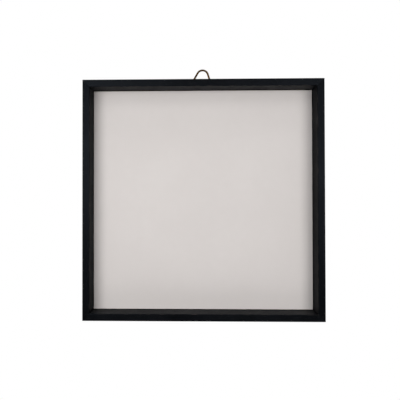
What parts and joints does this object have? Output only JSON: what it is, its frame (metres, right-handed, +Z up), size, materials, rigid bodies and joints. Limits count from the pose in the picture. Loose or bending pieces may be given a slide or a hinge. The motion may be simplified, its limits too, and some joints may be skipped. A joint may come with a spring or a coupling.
{
  "type": "floating frame",
  "caption": "Deep, narrow-sided open tray frame in satin black with a pale recessed board for floating a small artwork, and a hinged wire hanging ring.",
  "frame": {"origin": "centre of the bottom rail's underside", "axes": "+X to the viewer's right, +Y from the open front to the wall, +Z up"},
  "size_m": [0.25, 0.031, 0.2667],
  "materials": {
    "black_lacquer": "satin",
    "museum_board": "matte",
    "hardboard": "matte",
    "tape": "matte",
    "nail_steel": "satin",
    "zinc": "satin",
    "aged_brass": "satin",
    "bumper_rubber": "matte"
  },
  "bodies": {
    "frame": {"rail_top": "black_lacquer", "rail_bottom": "black_lacquer", "rail_left": "black_lacquer", "rail_right": "black_lacquer", "liner_board": "museum_board", "liner_tape": "tape", "backboard": "hardboard", "corner_nails_top_left": "nail_steel", "corner_nails_top_right": "nail_steel", "corner_nails_bottom_left": "nail_steel", "corner_nails_bottom_right": "nail_steel", "screws_top": "zinc", "screws_bottom": "zinc", "screws_left": "zinc", "screws_right": "zinc", "screws_hanger": "aged_brass", "hanger_strap": "aged_brass", "wall_bumper_left": "bumper_rubber", "wall_bumper_right": "bumper_rubber"},
    "ring": {"hanging_ring": "aged_brass"}
  },
  "joints": [
    {"name": "ring_hinge", "type": "hinge", "parent": "frame", "child": "ring", "pos_m": [-0.0009, 0.01685, 0.252], "axis": [-1, 0, 0], "range_deg": [-90, 172]}
  ]
}
